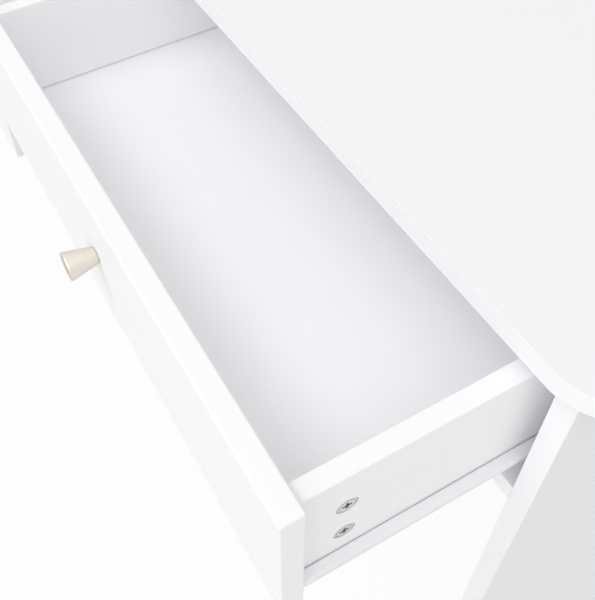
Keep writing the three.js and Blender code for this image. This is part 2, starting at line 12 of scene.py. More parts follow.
import bmesh
import bpy
from mathutils import Matrix, Vector


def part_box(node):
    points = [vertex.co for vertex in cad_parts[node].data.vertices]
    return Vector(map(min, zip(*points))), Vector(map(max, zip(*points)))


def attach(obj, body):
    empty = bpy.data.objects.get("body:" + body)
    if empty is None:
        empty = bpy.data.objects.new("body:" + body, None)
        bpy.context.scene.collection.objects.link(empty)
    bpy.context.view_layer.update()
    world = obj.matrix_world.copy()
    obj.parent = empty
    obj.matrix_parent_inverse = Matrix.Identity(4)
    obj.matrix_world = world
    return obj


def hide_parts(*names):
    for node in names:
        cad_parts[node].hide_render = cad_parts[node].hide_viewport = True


bl_info = {
    "name": "Writing desk with drawers",
    "version": (1, 0, 0),
    "blender": (4, 5, 0),
    "location": "3D View > Sidebar > Desk",
    "description": "Builds a white writing desk with two drawers, its fittings and its studio",
    "category": "Add Mesh",
}

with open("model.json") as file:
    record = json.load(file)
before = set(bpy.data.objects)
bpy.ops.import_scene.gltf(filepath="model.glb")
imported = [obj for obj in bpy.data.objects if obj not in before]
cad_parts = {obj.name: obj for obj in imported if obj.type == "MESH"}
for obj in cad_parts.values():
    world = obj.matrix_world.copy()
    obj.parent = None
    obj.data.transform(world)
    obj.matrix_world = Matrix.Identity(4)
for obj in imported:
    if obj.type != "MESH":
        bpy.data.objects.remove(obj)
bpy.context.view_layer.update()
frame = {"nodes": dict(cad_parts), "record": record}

BODIES = frame["record"]["behaviour"]["bodies"]
BODY_OF = {node: body for body, nodes in BODIES.items() for node in nodes}
HANDS = {"left": -1, "right": 1}
DRAWERS = ("left_drawer", "right_drawer")
X, Y, Z = Vector((1, 0, 0)), Vector((0, 1, 0)), Vector((0, 0, 1))


def length(name, description, default):
    return bpy.props.FloatProperty(
        name=name, description=description, default=default, min=0.0, precision=5,
        unit="LENGTH", subtype="DISTANCE",
    )


def tint(name, description, default):
    return bpy.props.FloatVectorProperty(
        name=name, description=description, default=default, min=0.0, max=1.0, size=3, subtype="COLOR",
    )


class DeskSizes(bpy.types.PropertyGroup):
    """Sizes of the pieces that the fixed model leaves open."""

    desktop_corner: length("Desktop corner", "Radius of the desktop's four corners in plan", 0.040)
    desktop_edge: length("Desktop edge", "Radius along the desktop's edges", 0.00025)
    board_edge: length("Board edge", "Radius along the edges of the case boards", 0.0004)
    front_edge: length("Front edge", "Radius along the edges of the drawer fronts", 0.0015)
    foil_edge: length("Foil edge", "Radius along the edges of the foiled drawer boards", 0.0008)
    groove_play: length("Groove play", "Gap beside and under a drawer floor in its groove", 0.0004)
    groove_headroom: length("Groove headroom", "Gap above a drawer floor in its groove", 0.0012)
    knob_base: length("Knob base radius", "Radius of a knob where it meets the front", 0.0060)
    knob_tip: length("Knob tip radius", "Radius of a knob at its far end", 0.01025)
    knob_foot: length("Knob foot", "Radius of a knob's rounded edge against the front", 0.0010)
    knob_rim: length("Knob rim", "Width of the rounded rim round a knob's end face", 0.0008)
    case_cam: length("Case cam radius", "Radius of the cam locks in the case boards", 0.0075)
    case_cam_depth: length("Case cam depth", "Depth of the cam locks in the case boards", 0.0120)
    case_cam_setback: length("Case cam setback", "From a joint to the middle of its case cam", 0.034)
    case_cam_inset: length("Case cam inset", "From the case's front or back to its cams", 0.060)
    wall_cam_inset: length("Wall cam inset", "From the modesty panel's edges to its cams", 0.030)
    drawer_cam: length("Drawer cam radius", "Radius of the cam locks in the drawer sides", 0.0065)
    drawer_cam_depth: length("Drawer cam depth", "Depth of the cam locks in the drawer sides", 0.0085)
    cam_play: length("Cam play", "Gap between a cam lock and its bore", 0.00032)
    sheet: length("Sheet metal", "Thickness of the slides' sheet metal", 0.0010)
    bend: length("Bend radius", "Outer radius of the slides' bends", 0.0019)
    runner_height: length("Runner height", "From under a runner's foot to the top of its track", 0.0181)
    runner_foot: length("Runner foot", "Width of the foot under the drawer side", 0.0100)
    runner_gap: length("Runner gap", "Gap between a runner's web and the drawer side", 0.0004)
    track_width: length("Track width", "From the drawer side to the outside of the track's lip", 0.0084)
    track_lip: length("Track lip", "Height of the lip along the track", 0.0045)
    lip_gap: length("Lip gap", "Gap between the track's lip and the rail under it", 0.0007)
    flange_gap: length("Flange gap", "Gap between a rail's flange and the runner's web", 0.0010)
    roller_gap: length("Roller gap", "Gap above and below a roller in its track", 0.0003)
    roller_side_gap: length("Roller side gap", "Gap beside a roller", 0.0005)
    front_roller: length("Front roller radius", "Radius of the rollers on the rails", 0.0100)
    rear_roller: length("Rear roller radius", "Radius of the rollers on the runners", 0.0075)
    rear_roller_width: length("Rear roller width", "Width of the rollers on the runners", 0.0075)
    axle: length("Axle radius", "Radius of the bar that a roller turns on", 0.0025)
    axle_head: length("Axle head radius", "Radius of the riveted end of an axle", 0.0038)
    screw_inset: length("Screw inset", "From a slide's front end to its first screw", 0.035)
    screw_end_inset: length("Screw end inset", "From a slide's last screw to its back end", 0.020)


class DeskColours(bpy.types.PropertyGroup):
    """Colours of the desk's finishes."""

    laminate: tint("Laminate", "Faces of the desktop and the case boards", (0.890, 0.890, 0.902))
    band: tint("Edge band", "Edges of the desktop and the case boards", (0.965, 0.965, 0.977))
    lacquer: tint("Lacquer", "Drawer fronts", (0.945, 0.945, 0.957))
    foil: tint("Foil", "Drawer sides, backs and floors", (0.967, 0.967, 0.975))
    powder_coat: tint("Powder coat", "Sheet metal of the slides", (0.865, 0.865, 0.880))
    zinc: tint("Zinc", "Cam locks and screws", (0.74, 0.74, 0.745))
    champagne: tint("Champagne", "Knobs", (0.860, 0.805, 0.705))
    nylon: tint("Nylon", "Rollers and glides", (0.84, 0.84, 0.82))
    floor: tint("Floor", "Studio floor", (0.82, 0.82, 0.82))


# ---- Nodes ----

def link(value, socket):
    socket.id_data.links.new(value, socket)


def add_node(here, kind, inputs=None, **settings):
    """Adds a node to the tree that here belongs to. Inputs go by name or index, as values or sockets."""
    node = here.id_data.nodes.new(kind)
    for name, value in settings.items():
        setattr(node, name, value)
    for name, value in (inputs or {}).items():
        if isinstance(value, bpy.types.NodeSocket):
            link(value, node.inputs[name])
        else:
            node.inputs[name].default_value = value
    return node


def new_output(here, kind, inputs=None, **settings):
    """Adds a node and gives its first output."""
    return add_node(here, kind, inputs, **settings).outputs[0]


def noise(place, scale, detail=4.0):
    return new_output(place, "ShaderNodeTexNoise", {"Vector": place, "Scale": scale, "Detail": detail})


def new_finish(name, colour, drift, scale, **values):
    """A material whose colour drifts to a darker one, with its shader and the object coordinates. Values
    go to the shader's sockets."""
    material = bpy.data.materials.new(name)
    material.use_nodes = True
    shader = material.node_tree.nodes["Principled BSDF"]
    for socket, value in values.items():
        shader.inputs[socket.replace("_", " ")].default_value = value
    place = add_node(shader, "ShaderNodeTexCoord").outputs["Object"]
    darker = [c * (1 - drift) for c in colour]
    shades = {0: noise(place, scale, 3.0), 6: (*darker, 1), 7: (*colour, 1)}
    mix = add_node(shader, "ShaderNodeMix", shades, data_type="RGBA")
    link(mix.outputs[2], shader.inputs["Base Color"])
    return material, shader, place


def add_sheen(shader, pattern, low, high):
    """Lets the roughness follow a pattern, between low and high."""
    limits = {"Value": pattern, "From Min": 0.3, "From Max": 0.7, "To Min": low, "To Max": high}
    link(new_output(shader, "ShaderNodeMapRange", limits), shader.inputs["Roughness"])


def add_relief(shader, height, depth):
    relief = {"Height": height, "Distance": depth, "Strength": 1.0}
    link(new_output(shader, "ShaderNodeBump", relief), shader.inputs["Normal"])


def board_finish(name, colour, roughness, peel_scale, peel_depth):
    """Lacquer, laminate or foil: a fine relief, and slight drifts of tone and sheen."""
    material, shader, place = new_finish(name, colour, drift=0.012, scale=4.0, Specular_IOR_Level=0.3)
    add_sheen(shader, noise(place, scale=22.0), roughness - 0.03, roughness + 0.03)
    add_relief(shader, noise(place, peel_scale, detail=2.0), peel_depth)
    return material


def powder_finish(name, colour):
    """Powder-coated sheet: a soft, rounded orange peel."""
    material, shader, place = new_finish(name, colour, drift=0.015, scale=9.0, Specular_IOR_Level=0.5)
    add_sheen(shader, noise(place, scale=60.0), low=0.33, high=0.42)
    peel = new_output(shader, "ShaderNodeTexVoronoi", {"Vector": place, "Scale": 900.0}, feature="SMOOTH_F1")
    add_relief(shader, peel, depth=0.00002)
    return material


def zinc_finish(name, colour):
    """Zinc-plated steel: fine spangle in tone and sheen, with faint tumbling marks."""
    material, shader, place = new_finish(name, colour, drift=0.22, scale=700.0, Metallic=1.0)
    add_sheen(shader, noise(place, scale=900.0), low=0.26, high=0.42)
    add_relief(shader, noise(place, scale=2600.0), depth=0.000008)
    return material


def turned_finish(name, colour):
    """Satin plated metal with fine turning marks round it. The UV map holds the turn and the height."""
    material, shader, _ = new_finish(
        name, colour, drift=0.05, scale=120.0, Metallic=1.0, Specular_Tint=(0.70, 0.67, 0.62, 1.0),
    )
    turn = add_node(shader, "ShaderNodeTexCoord").outputs["UV"]
    rings = new_output(shader, "ShaderNodeMapping", {"Vector": turn, "Scale": (2.0, 260.0, 1.0)})
    marks = noise(rings, scale=1.0, detail=3.0)
    add_sheen(shader, marks, low=0.30, high=0.42)
    add_relief(shader, marks, depth=0.000006)
    return material


def nylon_finish(name, colour):
    """Moulded nylon: slightly cloudy, with a fine spark-eroded texture."""
    material, shader, place = new_finish(
        name, colour, drift=0.04, scale=80.0, Subsurface_Weight=0.08, Subsurface_Scale=0.002,
    )
    add_sheen(shader, noise(place, scale=300.0), low=0.42, high=0.55)
    add_relief(shader, noise(place, scale=3500.0, detail=2.0), depth=0.00001)
    return material


FINISHES = {
    "laminate": (board_finish, "white_laminate", 0.55, 1400.0, 0.000012),
    "band": (board_finish, "white_edge_band", 0.50, 900.0, 0.000010),
    "lacquer": (board_finish, "white_lacquer", 0.45, 700.0, 0.000014),
    "foil": (board_finish, "white_foil", 0.55, 1800.0, 0.000016),
    "powder_coat": (powder_finish, "white_powder_coat"),
    "zinc": (zinc_finish, "zinc_plate"),
    "champagne": (turned_finish, "champagne_satin"),
    "nylon": (nylon_finish, "moulded_nylon"),
}


@cache
def finish(name):
    """The finish's material, made when first asked for."""
    make, label, *values = FINISHES[name]
    return make(label, getattr(bpy.context.scene.desk_colours, name), *values)


# ---- Meshes ----

BEVEL_ANGLE, SHARP_ANGLE, SHARP_ANGLE_BEVELLED = math.radians(32), math.radians(35), math.radians(50)
# How straight a polygon has to face, to belong to a board's broad side.
BROAD_SIDE = 0.6


def to_mesh(bm):
    mesh = bpy.data.meshes.new("mesh")
    bm.to_mesh(mesh)
    bm.free()
    return mesh


def new_object(name, data):
    made = bpy.data.objects.new(name, data)
    bpy.context.scene.collection.objects.link(made)
    return made


def baked(piece):
    """The piece's mesh with its modifiers applied; the modifiers are removed."""
    bpy.context.view_layer.update()
    evaluated = piece.evaluated_get(bpy.context.evaluated_depsgraph_get())
    mesh = bpy.data.meshes.new_from_object(evaluated)
    piece.modifiers.clear()
    piece.data = mesh
    return mesh


def spread(start, end, steps):
    """Even steps from start to end, both included."""
    return [start + (end - start) * step / steps for step in range(steps + 1)]


def angles(start, end, steps):
    """Even turns between two angles in degrees, in radians."""
    return [math.radians(angle) for angle in spread(start, end, steps)]


def block(low, high, radius=0.0, segments=3):
    """A box from its lowest to its highest corner, its edges rounded."""
    bm = bmesh.new()
    bmesh.ops.create_cube(bm, size=1.0)
    size, middle = Vector(high) - Vector(low), (Vector(low) + Vector(high)) / 2
    for vertex in bm.verts:
        vertex.co = Vector(c * s for c, s in zip(vertex.co, size)) + middle
    if radius:
        bmesh.ops.bevel(
            bm, geom=bm.edges[:], offset=radius, segments=segments, profile=0.5, affect="EDGES",
            clamp_overlap=True,
        )
    return to_mesh(bm)


def turned(rows, origin, axis, steps):
    """A solid turned about a line. Rows are (distance along the line, radius), from axis to axis or all
    round a ring. Its UV map holds the turn, from 0 to 1, and the way along the profile, in centimetres."""
    bm = bmesh.new()
    uv = bm.loops.layers.uv.new("turn")
    across = axis.orthogonal().normalized()
    over = axis.cross(across)
    turns = [2 * math.pi * step / steps for step in range(steps)]
    spokes = [across * math.cos(t) + over * math.sin(t) for t in turns]
    rings, runs = [], [0.0]
    for before, row in zip(rows, rows[1:]):
        runs.append(runs[-1] + math.dist(before, row) * 100)
    for distance, radius in rows:
        centre = origin + axis * distance
        if radius:
            rings.append([bm.verts.new(centre + spoke * radius) for spoke in spokes])
        else:
            rings.append([bm.verts.new(centre)] * steps)
    for ring, (low, high) in enumerate(zip(rings, rings[1:])):
        for step in range(steps):
            after = (step + 1) % steps
            corners = {}
            for vertex, turn, row in ((low[step], step, ring), (low[after], step + 1, ring),
                                      (high[after], step + 1, ring + 1), (high[step], step, ring + 1)):
                corners.setdefault(vertex, (turn / steps, runs[row]))
            for loop, place in zip(bm.faces.new(list(corners)).loops, corners.values()):
                loop[uv].uv = place
    bmesh.ops.recalc_face_normals(bm, faces=bm.faces[:])
    return to_mesh(bm)


def skinned(loops):
    """A solid through loops of as many points each, closed at both ends."""
    bm = bmesh.new()
    rings = [[bm.verts.new(point) for point in loop] for loop in loops]
    for near, far in zip(rings, rings[1:]):
        for i in range(len(near)):
            j = (i + 1) % len(near)
            bm.faces.new((near[i], near[j], far[j], far[i]))
    bm.faces.new(rings[0])
    bm.faces.new(rings[-1])
    bmesh.ops.recalc_face_normals(bm, faces=bm.faces[:])
    return to_mesh(bm)


def bend(centre_x, centre_z, radius, start, end):
    """Points of a bend in an outline, from start to end degrees."""
    turns = angles(start, end, 6)
    return [(centre_x + radius * math.cos(t), centre_z + radius * math.sin(t)) for t in turns]


def cut(mesh, tools):
    """The mesh less each of the tools."""
    piece = new_object("cut", mesh)
    cutters = [new_object("cutter", tool) for tool in tools]
    for cutter in cutters:
        boolean = piece.modifiers.new("cut", "BOOLEAN")
        boolean.operation, boolean.solver, boolean.object = "DIFFERENCE", "EXACT", cutter
    mesh = baked(piece)
    for done in (piece, *cutters):
        bpy.data.objects.remove(done)
    return mesh


def merged(meshes):
    """Several closed meshes as one."""
    bm = bmesh.new()
    for mesh in meshes:
        bm.from_mesh(mesh)
    return to_mesh(bm)


def place_piece(node, kind, mesh, *finishes, edge=0.0):
    """Makes a piece of the mesh in place of a node, its sharp edges rounded by edge. Of two finishes, the
    first goes on a board's broad faces and the second on its edges."""
    piece = new_object(f"{node}_{kind}", mesh)
    mesh.materials.clear()
    for one in finishes:
        mesh.materials.append(finish(one))
    low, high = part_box(node)
    size = high - low
    thin = min(range(3), key=lambda axis: size[axis])
    for polygon in mesh.polygons:
        polygon.use_smooth = True
        on_face = len(finishes) == 1 or abs(polygon.normal[thin]) > BROAD_SIDE
        polygon.material_index = 0 if on_face else 1
    if edge:
        bevel = piece.modifiers.new("edges", "BEVEL")
        bevel.limit_method, bevel.angle_limit = "ANGLE", BEVEL_ANGLE
        bevel.width, bevel.segments, bevel.profile = edge, 2, 0.5
    mesh.set_sharp_from_angle(angle=SHARP_ANGLE_BEVELLED if edge else SHARP_ANGLE)
    weighted = piece.modifiers.new("faces", "WEIGHTED_NORMAL")
    weighted.keep_sharp, weighted.weight = not edge, 90
    baked(piece)
    seat(piece, (node,), BODY_OF[node])


def seat(piece, nodes, body):
    """Hands a finished piece to the frame."""
    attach(piece, body)
    if nodes:
        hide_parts(*nodes)


# ---- Fasteners that repeat ----

SLOT_INPUTS = ("Slot width", "Slot reach", "Slot depth")
CAM_INPUTS = ("Radius", "Depth", "Chamfer", "Rim", "Ring", "Ring depth", *SLOT_INPUTS, "Hole")
SCREW_INPUTS = ("Head radius", "Dome", "Cone", "Shank radius", "Shank length", *SLOT_INPUTS)
COUNTERSUNK = dict(zip(SCREW_INPUTS, (0.0036, 0.00025, 0.0020, 0.0017, 0.0300, 0.0009, 0.0020, 0.0012)))
PAN_HEAD = dict(zip(SCREW_INPUTS, (0.0034, 0.0013, 0.0004, 0.0017, 0.0090, 0.0008, 0.0019, 0.0010)))
KNOB_SCREW = dict(zip(SCREW_INPUTS, (0.0040, 0.0021, 0.0001, 0.0019, 0.0268, 0.0010, 0.0022, 0.0014)))


def cam_lengths(radius, depth):
    slot_width, slot_reach, hole = radius * 0.27, radius * 0.46, radius * 0.24
    lengths = (radius, depth, 0.0004, 0.0011, 0.0004, 0.0005, slot_width, slot_reach, 0.0022, hole)
    return dict(zip(CAM_INPUTS, lengths))


def new_tree(name, lengths):
    """A geometry tree that takes points, lengths by name and a material, with its inputs."""
    tree = bpy.data.node_groups.new(name, "GeometryNodeTree")
    sockets = [("Points", "Geometry"), *((label, "Float") for label in lengths), ("Finish", "Material")]
    for label, kind in sockets:
        tree.interface.new_socket(label, in_out="INPUT", socket_type=f"NodeSocket{kind}")
    tree.interface.new_socket("Geometry", in_out="OUTPUT", socket_type="NodeSocketGeometry")
    return tree, add_node(tree, "NodeGroupInput").outputs


def calculate(operation, first, second):
    return new_output(first, "ShaderNodeMath", {0: first, 1: second}, operation=operation)


def times(value, factor):
    return calculate("MULTIPLY", value, factor)


def vector_in(tree, x, y, z):
    return new_output(tree, "ShaderNodeCombineXYZ", {"X": x, "Y": y, "Z": z})


def moved(shape, z=0.0, scale=(1.0, 1.0, 1.0)):
    change = {"Geometry": shape, "Translation": vector_in(shape, 0.0, 0.0, z), "Scale": scale}
    return new_output(shape, "GeometryNodeTransform", change)


def combine(operation, first, *others):
    """A boolean of shapes. Only a difference has a socket of its own for the first one."""
    boolean = add_node(first, "GeometryNodeMeshBoolean", operation=operation, solver="EXACT")
    link(first, boolean.inputs[0 if operation == "DIFFERENCE" else 1])
    for other in others:
        link(other, boolean.inputs[1])
    return boolean.outputs[0]


def box_in(x, y, z):
    return new_output(x, "GeometryNodeMeshCube", {"Size": vector_in(x, x, y, z)})


def rod_in(radius, depth, top, steps):
    """A cylinder along Z whose upper end is at top."""
    shape = {"Vertices": steps, "Radius": radius, "Depth": depth}
    rod = new_output(radius, "GeometryNodeMeshCylinder", shape)
    return moved(rod, z=calculate("ADD", times(depth, -0.5), top))


def cone_in(top_radius, foot_radius, depth, steps):
    """A cone that stands on z = 0."""
    shape = {"Vertices": steps, "Radius Top": top_radius, "Radius Bottom": foot_radius, "Depth": depth}
    return new_output(top_radius, "GeometryNodeMeshCone", shape)


def repeat(tree, inputs, shape):
    """Ends the tree: the shape stands on every point, its Z along the point's facing."""
    facing = new_output(tree, "GeometryNodeInputNamedAttribute", {"Name": "facing"}, data_type="FLOAT_VECTOR")
    turn = new_output(tree, "FunctionNodeAlignRotationToVector", {"Vector": facing}, axis="Z")
    stood = {"Points": inputs["Points"], "Instance": shape, "Rotation": turn}
    made = new_output(tree, "GeometryNodeInstanceOnPoints", stood)
    made = new_output(tree, "GeometryNodeRealizeInstances", {"Geometry": made})
    made = new_output(tree, "GeometryNodeSetShadeSmooth", {"Geometry": made})
    made = new_output(tree, "GeometryNodeSetMaterial", {"Geometry": made, "Material": inputs["Finish"]})
    add_node(tree, "NodeGroupOutput", {"Geometry": made})
    return tree


def cross_cutter(inputs, top):
    """Two crossed bars that sink a cross recess into a face at top."""
    width, span = inputs["Slot width"], times(inputs["Slot reach"], 2.0)
    tall = times(inputs["Slot depth"], 2.0)
    return [moved(bar, z=top) for bar in (box_in(span, width, tall), box_in(width, span, tall))]


@cache
def cam_tree():
    """A cam lock: a chamfered disc with a ring groove and a cross recess. Its face is at z = 0."""
    tree, inputs = new_tree("Cam lock", CAM_INPUTS)
    steps, hole_steps, hole_top = 48, 24, 0.001
    narrow = calculate("SUBTRACT", inputs["Radius"], inputs["Chamfer"])
    tall = times(inputs["Depth"], 1.5)
    cone = moved(cone_in(narrow, calculate("ADD", narrow, tall), tall, steps), z=times(tall, -1.0))
    disc = combine("INTERSECT", rod_in(inputs["Radius"], inputs["Depth"], 0.0, steps), cone)
    ring_outer = calculate("SUBTRACT", inputs["Radius"], inputs["Rim"])
    ring_inner = calculate("SUBTRACT", ring_outer, inputs["Ring"])
    ring_tall = times(inputs["Ring depth"], 2.0)
    ring = rod_in(ring_outer, ring_tall, inputs["Ring depth"], steps)
    ring = combine("DIFFERENCE", ring, rod_in(ring_inner, times(ring_tall, 2.0), ring_tall, steps))
    hole = rod_in(inputs["Hole"], times(inputs["Slot depth"], 2.6), hole_top, hole_steps)
    return repeat(tree, inputs, combine("DIFFERENCE", disc, ring, hole, *cross_cutter(inputs, 0.0)))


@cache
def screw_tree():
    """A screw with a domed head on a cone and a shank. The board's face is at z = 0."""
    tree, inputs = new_tree("Cross-recessed screw", SCREW_INPUTS)
    steps, rings, shank_steps = 32, 16, 16
    head, shank = inputs["Head radius"], inputs["Shank radius"]
    ball = new_output(tree, "GeometryNodeMeshUVSphere", {"Segments": steps, "Rings": rings, "Radius": 1.0})
    ball = moved(ball, scale=vector_in(tree, head, head, inputs["Dome"]))
    span = times(head, 3.0)
    dome = combine("DIFFERENCE", ball, moved(box_in(span, span, span), z=times(span, -0.5)))
    dome = combine("DIFFERENCE", dome, *cross_cutter(inputs, inputs["Dome"]))
    cone = moved(cone_in(shank, head, inputs["Cone"], steps), scale=(1.0, 1.0, -1.0))
    rod = rod_in(shank, inputs["Shank length"], 0.0, shank_steps)
    joined = add_node(tree, "GeometryNodeJoinGeometry")
    for part in (dome, cone, rod):
        link(part, joined.inputs[0])
    return repeat(tree, inputs, joined.outputs[0])


def stand_on(name, tree, places, lengths, nodes, body):
    """Makes one plain piece of a tree's shape on every place. A place ends with its point and facing."""
    points = bpy.data.meshes.new(name)
    points.from_pydata([tuple(place[-2]) for place in places], [], [])
    facing = points.attributes.new("facing", "FLOAT_VECTOR", "POINT")
    facing.data.foreach_set("vector", [c for place in places for c in place[-1]])
    piece = new_object(name, points)
    modifier = piece.modifiers.new("fasteners", "NODES")
    modifier.node_group = tree
    values = {**lengths, "Finish": finish("zinc")}
    for item in tree.interface.items_tree:
        if item.name in values:
            modifier[item.identifier] = values[item.name]
    baked(piece).set_sharp_from_angle(angle=SHARP_ANGLE)
    seat(piece, nodes, body)


# ---- Pieces ----

# A hairline between parts that touch, and how far a tool stands out of the face that it bores.
SEAM, TOOL_OVERLAP = 0.0001, 0.001


def middle_of(node, **coordinates):
    """The middle of a node's box, with other coordinates where they are given."""
    middle = Vector((a + b) / 2 for a, b in zip(*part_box(node)))
    for axis, value in coordinates.items():
        setattr(middle, axis, value)
    return middle


def bore(point, facing, radius, depth, steps=48):
    """A tool that bores into a face at a point."""
    rows = [(-depth, 0.0), (-depth, radius), (TOOL_OVERLAP, radius), (TOOL_OVERLAP, 0.0)]
    return turned(rows, point, facing, steps)


def case_cam_places(sizes):
    """The cam locks of the case: board, middle of the cam's face, and the way it faces."""
    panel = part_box("right_side_panel")[0]
    back_low, back_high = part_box("case_back_board")
    modesty_low, modesty_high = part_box("modesty_panel")
    reach = panel.x - sizes.case_cam_setback
    ys = (panel.y + sizes.case_cam_inset, back_low.y - sizes.case_cam_inset)
    zs = (modesty_high.z - sizes.wall_cam_inset, modesty_low.z + sizes.wall_cam_inset)
    joint_z = (back_low.z + back_high.z) / 2
    under_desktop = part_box("desktop")[0].z - sizes.case_cam_setback
    places = []
    for side, hand in HANDS.items():
        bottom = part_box(f"{side}_bottom_board")[0].z
        for y in ys:
            places.append((f"{side}_side_panel", (hand * panel.x, y, under_desktop), -hand * X))
            places.append((f"{side}_bottom_board", (hand * reach, y, bottom), -Z))
        places.append(("case_back_board", (hand * reach, back_high.y, joint_z), Y))
        places += [("modesty_panel", (hand * reach, modesty_high.y, z), Y) for z in zs]
    near_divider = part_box("centre_divider")[1].x + sizes.case_cam_setback
    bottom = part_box("right_bottom_board")[0].z
    places += [("right_bottom_board", (near_divider, y, bottom), -Z) for y in ys]
    return [(board, Vector(point), facing) for board, point, facing in places]


class DESK_OT_desktop(bpy.types.Operator):
    """Make the desktop, a laminated board with round corners and a rounded edge band"""

    bl_idname = "desk.desktop"
    bl_label = "Desktop"

    def execute(self, context):
        sizes = context.scene.desk_sizes
        low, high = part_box("desktop")
        corner, edge = sizes.desktop_corner, sizes.desktop_edge
        corner_steps, edge_steps = 40, 4
        left, right, front, back = low.x + corner, high.x - corner, low.y + corner, high.y - corner

        def loop(turn, z):
            """One loop round the board, drawn in by the turn of its rounded edge."""
            radius = corner - edge * (1 - math.sin(turn))
            points = []
            for quadrant, (x, y) in enumerate(((right, back), (left, back), (left, front), (right, front))):
                for t in angles(90 * quadrant, 90 * (quadrant + 1), corner_steps):
                    points.append((x + radius * math.cos(t), y + radius * math.sin(t), z))
            return points

        turns = angles(0, 90, edge_steps)
        loops = [loop(t, low.z + edge * (1 - math.cos(t))) for t in turns]
        loops += [loop(t, high.z - edge * (1 - math.cos(t))) for t in reversed(turns)]
        place_piece("desktop", "board", skinned(loops), "laminate", "band")
        return {"FINISHED"}


class DESK_OT_case_boards(bpy.types.Operator):
    """Make the side panels, divider, bottom boards, back board and modesty panel, bored for their cams"""

    bl_idname = "desk.case_boards"
    bl_label = "Case boards"

    def execute(self, context):
        sizes = context.scene.desk_sizes
        places = case_cam_places(sizes)
        boards = (
            "left_side_panel", "right_side_panel", "centre_divider", "left_bottom_board",
            "right_bottom_board", "case_back_board", "modesty_panel",
        )
        for board in boards:
            tools = [
                bore(point, facing, sizes.case_cam + sizes.cam_play, sizes.case_cam_depth)
                for node, point, facing in places if node == board
            ]
            mesh = cut(block(*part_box(board), sizes.board_edge), tools)
            place_piece(board, "board", mesh, "laminate", "band")
        return {"FINISHED"}


class DESK_OT_case_cams(bpy.types.Operator):
    """Stand a cam lock in every bore of the case boards"""

    bl_idname = "desk.case_cams"
    bl_label = "Case cam locks"

    def execute(self, context):
        sizes = context.scene.desk_sizes
        lengths = cam_lengths(sizes.case_cam, sizes.case_cam_depth)
        stand_on("case_cam_locks", cam_tree(), case_cam_places(sizes), lengths, (), "carcass")
        return {"FINISHED"}


class DESK_OT_divider_screws(bpy.types.Operator):
    """Stand the screws that come up through the left bottom board into the divider"""

    bl_idname = "desk.divider_screws"
    bl_label = "Divider screws"

    def execute(self, context):
        nodes = ("divider_front_screw", "divider_back_screw")
        places = [(middle_of(node, z=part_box(node)[0].z), -Z) for node in nodes]
        stand_on("divider_screw_heads", screw_tree(), places, COUNTERSUNK, nodes, "carcass")
        return {"FINISHED"}


class DESK_OT_glides(bpy.types.Operator):
    """Make the nylon glides under the side panels"""

    bl_idname = "desk.glides"
    bl_label = "Glides"

    def execute(self, context):
        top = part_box("right_side_panel")[0].z - SEAM
        soft, chamfer, stem, stem_tip = 0.0012, 0.0006, 0.0025, 0.001
        for node in [n for n in BODY_OF if n.endswith("_glide")]:
            low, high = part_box(node)
            radius = (high.x - low.x) / 2
            rows = [
                (0, 0), (0, radius - soft), (soft / 3, radius - soft / 3), (soft, radius),
                (top - chamfer, radius), (top, radius - chamfer), (top, stem),
                (high.z - stem_tip, stem), (high.z, stem * 0.7), (high.z, 0),
            ]
            place_piece(node, "puck", turned(rows, middle_of(node, z=0.0), Z, 40), "nylon")
        return {"FINISHED"}


def groove(drawer, sizes):
    """A tool that cuts the groove round a drawer's floor."""
    low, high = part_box(f"{drawer}_floor")
    play = sizes.groove_play
    return block(low - Vector([play] * 3), high + Vector((play, play, sizes.groove_headroom)))


class DESK_OT_drawer_fronts(bpy.types.Operator):
    """Make the lacquered drawer fronts, grooved for the drawer floors"""

    bl_idname = "desk.drawer_fronts"
    bl_label = "Drawer fronts"

    def execute(self, context):
        sizes = context.scene.desk_sizes
        for drawer in DRAWERS:
            mesh = block(*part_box(f"{drawer}_front"), sizes.front_edge, 5)
            place_piece(f"{drawer}_front", "board", cut(mesh, [groove(drawer, sizes)]), "lacquer")
        return {"FINISHED"}


def drawer_cam_places(drawer, side):
    """The cam locks of a drawer side: node, middle of the cam's face, and the way it faces."""
    hand = HANDS[side]
    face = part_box(f"{drawer}_{side}_side")[hand > 0].x
    cams = [f"{drawer}_{side}_{place}_cam" for place in ("upper", "lower")]
    return [(cam, middle_of(cam, x=face), hand * X) for cam in cams]


def back_screw_places(drawer, side):
    """The screws through a drawer side into the back: middle of the head, and the way it faces."""
    drop, lift = 0.022, 0.041
    hand, board = HANDS[side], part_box(f"{drawer}_{side}_side")
    heights = (board[1].z - drop, board[0].z + lift)
    return [(middle_of(f"{drawer}_back", x=board[hand > 0].x, z=z), hand * X) for z in heights]


